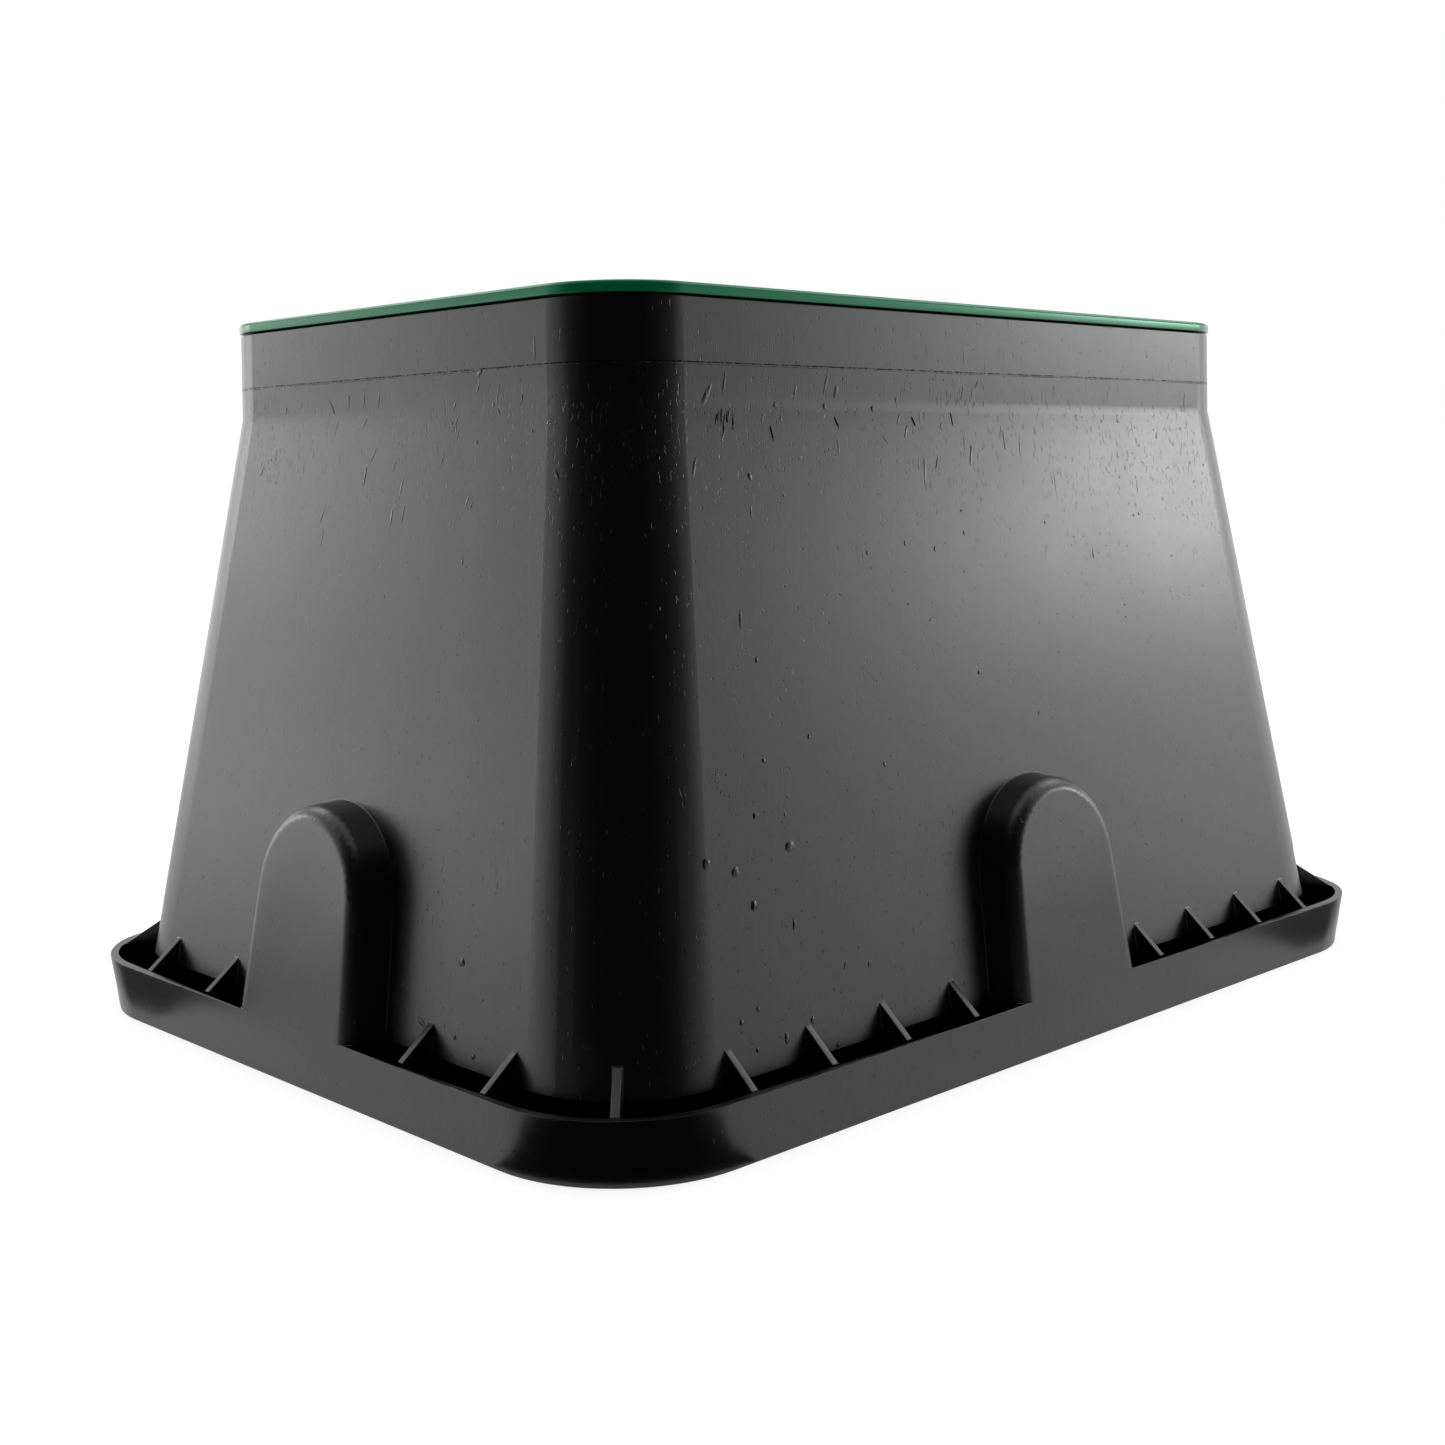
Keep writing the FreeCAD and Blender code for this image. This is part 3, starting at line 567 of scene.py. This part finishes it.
# The lid is moulded from green polyethylene with a glossier skin. Its edge is rounded over and it
# drops into the collar on its skirt. The colour lies just under the skin, so its sheen is green too.
lid_green = "#034828"
lid_sheen = "#50F9AC"
lid_gloss = 0.26
lid_edge_round = 0.5 * mm


def moulded_green():
    """A deep green with a pale green sheen, slightly wavy like any thin moulding."""
    made = bpy.data.materials.new("moulded_polyethylene_green")
    made.use_nodes = True
    tree = made.node_tree
    skin = tree.nodes["Principled BSDF"]
    skin.inputs["Base Color"].default_value = colour(lid_green)
    skin.inputs["Specular Tint"].default_value = colour(lid_sheen)
    skin.inputs["IOR"].default_value = polyethylene_ior
    skin.inputs["Roughness"].default_value = lid_gloss
    place = add_node(tree, "ShaderNodeTexCoord")
    waves = add_node(tree, "ShaderNodeTexNoise", {"Vector": place.outputs["Object"], "Scale": 60.0,
                                                  "Detail": 2.0})
    lumps = add_node(tree, "ShaderNodeBump", {"Height": waves.outputs[0], "Strength": 0.5,
                                              "Distance": 0.03 * mm})
    tree.links.new(lumps.outputs[0], skin.inputs["Normal"])
    return made


green = moulded_green()
lid_shape = copy_of("lid")
soften(lid_shape, edges_turned_by(lid_shape, sharp_turn), lid_edge_round, 2)
lid = finished(lid_shape, "moulded_lid", green, "lid")
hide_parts("lid")

# The tread is a basket weave of low bars, moulded with the lid inside its plain border. The bars stop
# short of the rims round the bolt pockets and the pick slots.
cell = 22 * mm
bars_in_cell = 3
bar_width = 3.8 * mm
bar_gap = 3.2 * mm
bar_height = 0.8 * mm
bar_sunk = 0.1 * mm
bar_edge = 0.35 * mm
lid_low, lid_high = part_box("lid")
recess = lid_high.z - 0.9 * mm


def lies_in_recess(seen_from_above, x, y, half_x, half_y):
    """Whether a bar at this place has the recess's floor under its middle and its corners."""
    for u, v in ((0, 0), (-1, -1), (-1, 1), (1, -1), (1, 1)):
        start = Vector((x + u * half_x, y + v * half_y, lid_high.z + 1 * mm))
        hit, _, _, _ = seen_from_above.ray_cast(start, Vector((0, 0, -1)))
        if hit is None or abs(hit.z - recess) > 0.1 * mm:
            return False
    return True


surface = bmesh.new()
surface.from_mesh(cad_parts["lid"].data)
lid_tree = BVHTree.FromBMesh(surface)
surface.free()
tread = bmesh.new()
bar_length = cell - bar_gap
bar_pitch = bar_width + bar_gap
columns = int((lid_high.x - lid_low.x) / cell)
rows = int((lid_high.y - lid_low.y) / cell)
for column in range(columns):
    for row in range(rows):
        centre_x = (column - (columns - 1) / 2) * cell
        centre_y = (row - (rows - 1) / 2) * cell
        for number in range(bars_in_cell):
            aside = (number - (bars_in_cell - 1) / 2) * bar_pitch
            if (column + row) % 2:
                x, y, size_x, size_y = centre_x, centre_y + aside, bar_length, bar_width
            else:
                x, y, size_x, size_y = centre_x + aside, centre_y, bar_width, bar_length
            if not lies_in_recess(lid_tree, x, y, size_x / 2 + bar_gap / 3, size_y / 2 + bar_gap / 3):
                continue
            low_z = recess - bar_sunk
            middle = Vector((x, y, low_z + (bar_height + bar_sunk) / 2))
            size = Matrix.Diagonal((size_x, size_y, bar_height + bar_sunk, 1.0))
            bmesh.ops.create_cube(tread, size=1.0, matrix=Matrix.Translation(middle) @ size)
tops = [e for e in tread.edges if all(v.co.z > recess for v in e.verts)]
soften(tread, tops, bar_edge, 2)
finished(tread, "tread_bars", green, "lid")

# The lid bolts are 3/8 inch hex bolts, forged and rolled from plain stainless steel. The head is
# chamfered, and the lower part of the shank is threaded.
stainless_grey = "#C4C7C8"
stainless_gloss = 0.3
stainless_brushing = 0.4 * mm
bolt_size = 9.525 * mm
bolt_pitch = 25.4 / 16 * mm
bolt_thread_deep = 0.85 * mm
bolt_threaded = 32 * mm
bolt_tip_chamfer = 0.9 * mm
head_height = 6 * mm
head_flats = 14.29 * mm
bearing_share = 0.47
head_chamfer_slope = tan(radians(30))
turn_steps = 24
crest_half = 0.06
foot_half = 0.44
crest_sunk = 0.02 * mm
foot_sunk = 0.1 * mm
cloud_size = 3 * mm


def fastener_steel(name, tone, gloss, brushing):
    """Bright steel, slightly clouded, with fine marks from the rolling."""
    made = bpy.data.materials.new(name)
    made.use_nodes = True
    tree = made.node_tree
    metal = tree.nodes["Principled BSDF"]
    metal.inputs["Base Color"].default_value = colour(tone)
    metal.inputs["Metallic"].default_value = 1.0
    place = add_node(tree, "ShaderNodeTexCoord").outputs["Object"]
    cloud = add_node(tree, "ShaderNodeTexNoise", {"Vector": place, "Scale": 1 / cloud_size, "Detail": 4.0})
    rough = add_node(tree, "ShaderNodeMapRange", {"Value": cloud.outputs[0], "From Min": 0.3,
                                                  "From Max": 0.7, "To Min": gloss - 0.06,
                                                  "To Max": gloss + 0.1})
    tree.links.new(rough.outputs[0], metal.inputs["Roughness"])
    marks = add_node(tree, "ShaderNodeTexNoise", {"Vector": place, "Scale": 1 / brushing, "Detail": 2.0})
    lumps = add_node(tree, "ShaderNodeBump", {"Height": marks.outputs[0], "Strength": 0.3,
                                              "Distance": 0.01 * mm})
    tree.links.new(lumps.outputs[0], metal.inputs["Normal"])
    return made


def hex_head(shape, x, seat):
    """The head: six flats with a turned chamfer on top, so each flat's top edge is an arc."""
    flat_turn = pi / 3
    points_to_flat = 8
    bearing_radius = head_flats * bearing_share
    ring = bmesh.ops.create_circle(shape, segments=6 * points_to_flat, radius=1.0)["verts"]
    for corner in ring:
        turn = corner.co.to_2d().angle_signed(Vector((1, 0)))
        from_flat = (turn % flat_turn) - flat_turn / 2
        reach = head_flats / 2 / cos(from_flat)
        corner.co = Vector((x + reach * cos(turn), reach * sin(turn), seat))
    ring_edges = [e for e in shape.edges if all(v in ring for v in e.verts)]
    bmesh.ops.edgenet_fill(shape, edges=ring_edges)
    raised = bmesh.ops.extrude_edge_only(shape, edges=ring_edges)["geom"]
    upper = [v for v in raised if isinstance(v, bmesh.types.BMVert)]
    for corner in upper:
        reach = (corner.co - Vector((x, 0, seat))).length
        corner.co.z += head_height - max(0.0, reach - bearing_radius) * head_chamfer_slope
    upper_edges = [e for e in raised if isinstance(e, bmesh.types.BMEdge)]
    crown = bmesh.ops.extrude_edge_only(shape, edges=upper_edges)["geom"]
    for corner in (v for v in crown if isinstance(v, bmesh.types.BMVert)):
        aside = (corner.co - Vector((x, 0, 0))).to_2d().normalized() * bearing_radius
        corner.co = Vector((x + aside.x, aside.y, seat + head_height))
    bmesh.ops.edgenet_fill(shape, edges=[e for e in crown if isinstance(e, bmesh.types.BMEdge)])


def turned_shank(shape, x, outline):
    """A turned part: the outline's points, as radius and height, are spun about the bolt's axis."""
    row = [shape.verts.new((x + radius, 0, height)) for radius, height in outline]
    edges = [shape.edges.new(pair) for pair in zip(row, row[1:])]
    bmesh.ops.spin(shape, geom=row + edges, cent=(x, 0, 0), axis=(0, 0, 1), dvec=(0, 0, 0),
                   angle=2 * pi, steps=turn_steps, use_merge=True)


def thread_ridge(shape, x, radius, low, high):
    """One ridge of the thread, wound up the shank from low to high."""
    turns = (high - low) / bolt_pitch
    foot, crest = bolt_pitch * foot_half, bolt_pitch * crest_half
    foot_radius, crest_radius = radius - bolt_thread_deep - foot_sunk, radius - crest_sunk
    section = ((foot_radius, -foot), (crest_radius, -crest), (crest_radius, crest), (foot_radius, foot))
    row = [shape.verts.new((x + reach, 0, low + rise)) for reach, rise in section]
    edges = [shape.edges.new((row[k], row[(k + 1) % 4])) for k in range(4)]
    shape.faces.new(row)
    made = bmesh.ops.spin(shape, geom=row + edges, cent=(x, 0, 0), axis=(0, 0, 1),
                          dvec=(0, 0, bolt_pitch / turn_steps), angle=turns * 2 * pi,
                          steps=int(turns * turn_steps), use_merge=False)
    last = [e for e in made["geom_last"] if isinstance(e, bmesh.types.BMEdge)]
    bmesh.ops.edgenet_fill(shape, edges=last)


stainless = fastener_steel("stainless_bolt_steel", stainless_grey, stainless_gloss, stainless_brushing)
for hand in ("left", "right"):
    low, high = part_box("lid_bolt_" + hand)
    axis_x = (low.x + high.x) / 2
    seat = high.z - head_height
    radius = bolt_size / 2
    core = radius - bolt_thread_deep
    thread_top = low.z + bolt_threaded
    bolt = bmesh.new()
    hex_head(bolt, axis_x, seat)
    turned_shank(bolt, axis_x, ((0, seat), (radius, seat), (radius, thread_top + bolt_thread_deep),
                                (core, thread_top), (core, low.z + bolt_tip_chamfer),
                                (core - bolt_tip_chamfer, low.z), (0, low.z)))
    thread_ridge(bolt, axis_x, radius, low.z + bolt_pitch, thread_top)
    bmesh.ops.remove_doubles(bolt, verts=bolt.verts, dist=0.001 * mm)
    bmesh.ops.recalc_face_normals(bolt, faces=bolt.faces)
    made = finished(bolt, "hex_bolt_" + hand, stainless, "bolt_" + hand)
    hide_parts("lid_bolt_" + hand)

# The washers are stamped from stainless strip, one for each bolt's head. The stamping leaves their
# edges a little round.
stamped_turn = radians(50)
washer_edge = 0.18 * mm
washers = copy_of("bolt_washers")
soften(washers, edges_turned_by(washers, stamped_turn), washer_edge, 2)
made = finished(washers, "stamped_washers", stainless, "lid")
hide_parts("bolt_washers")

# The clip nuts are folded from zinc plated spring steel. Each is pushed onto its ear of the box, where
# the lid's bolt runs into its barrel.
clip_edge = 0.15 * mm
zinc_grey = "#A9ADB0"
zinc_gloss = 0.38
zinc_brushing = 0.5 * mm
zinc = fastener_steel("zinc_plated_spring_steel", zinc_grey, zinc_gloss, zinc_brushing)
clips = copy_of("clip_nuts")
soften(clips, edges_turned_by(clips, stamped_turn), clip_edge, 2)
made = finished(clips, "folded_clip_nuts", zinc, "box")
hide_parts("clip_nuts")
